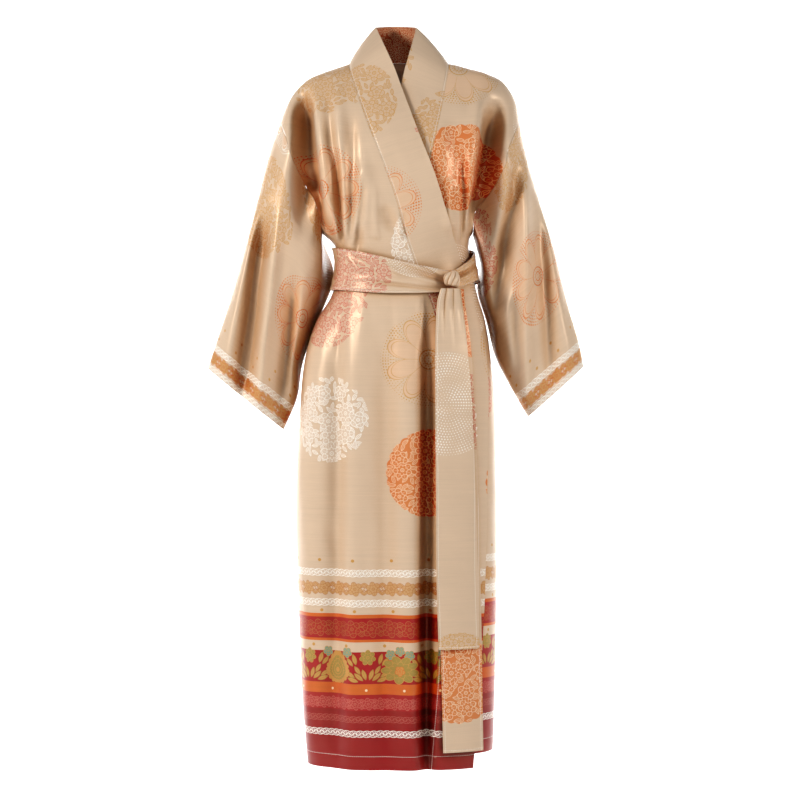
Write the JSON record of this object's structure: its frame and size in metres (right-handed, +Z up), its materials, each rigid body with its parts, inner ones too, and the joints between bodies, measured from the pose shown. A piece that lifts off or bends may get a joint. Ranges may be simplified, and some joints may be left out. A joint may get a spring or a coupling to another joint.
{
  "type": "wrap kimono with sash",
  "caption": "Long satin wrap kimono with wide sleeves, a doubled neck and front band and a knotted sash with hanging tails, filled out as worn and open at neck, cuffs and hem.",
  "frame": {"origin": "between the shoulders at the height of the neck points, on the line from one shoulder's top to the other's, where the wearer's neck and shoulders carry the garment", "axes": "+Z up, the front faces -Y, +X towards the wearer's left"},
  "size_m": [0.677, 0.2373, 1.3331],
  "materials": {
    "satin": "printed satin, soft sheen",
    "band": "printed satin, doubled",
    "sash": "printed satin, doubled"
  },
  "bodies": {
    "root": {"back": "satin", "front_right": "satin", "front_left": "satin", "band_right": "band", "band_left": "band", "band_neck": "band", "sleeve_right": "satin", "sleeve_left": "satin", "sash_wrap": "sash", "sash_knot": "sash", "sash_tail_front": "sash", "sash_tail_back": "sash"}
  },
  "joints": []
}
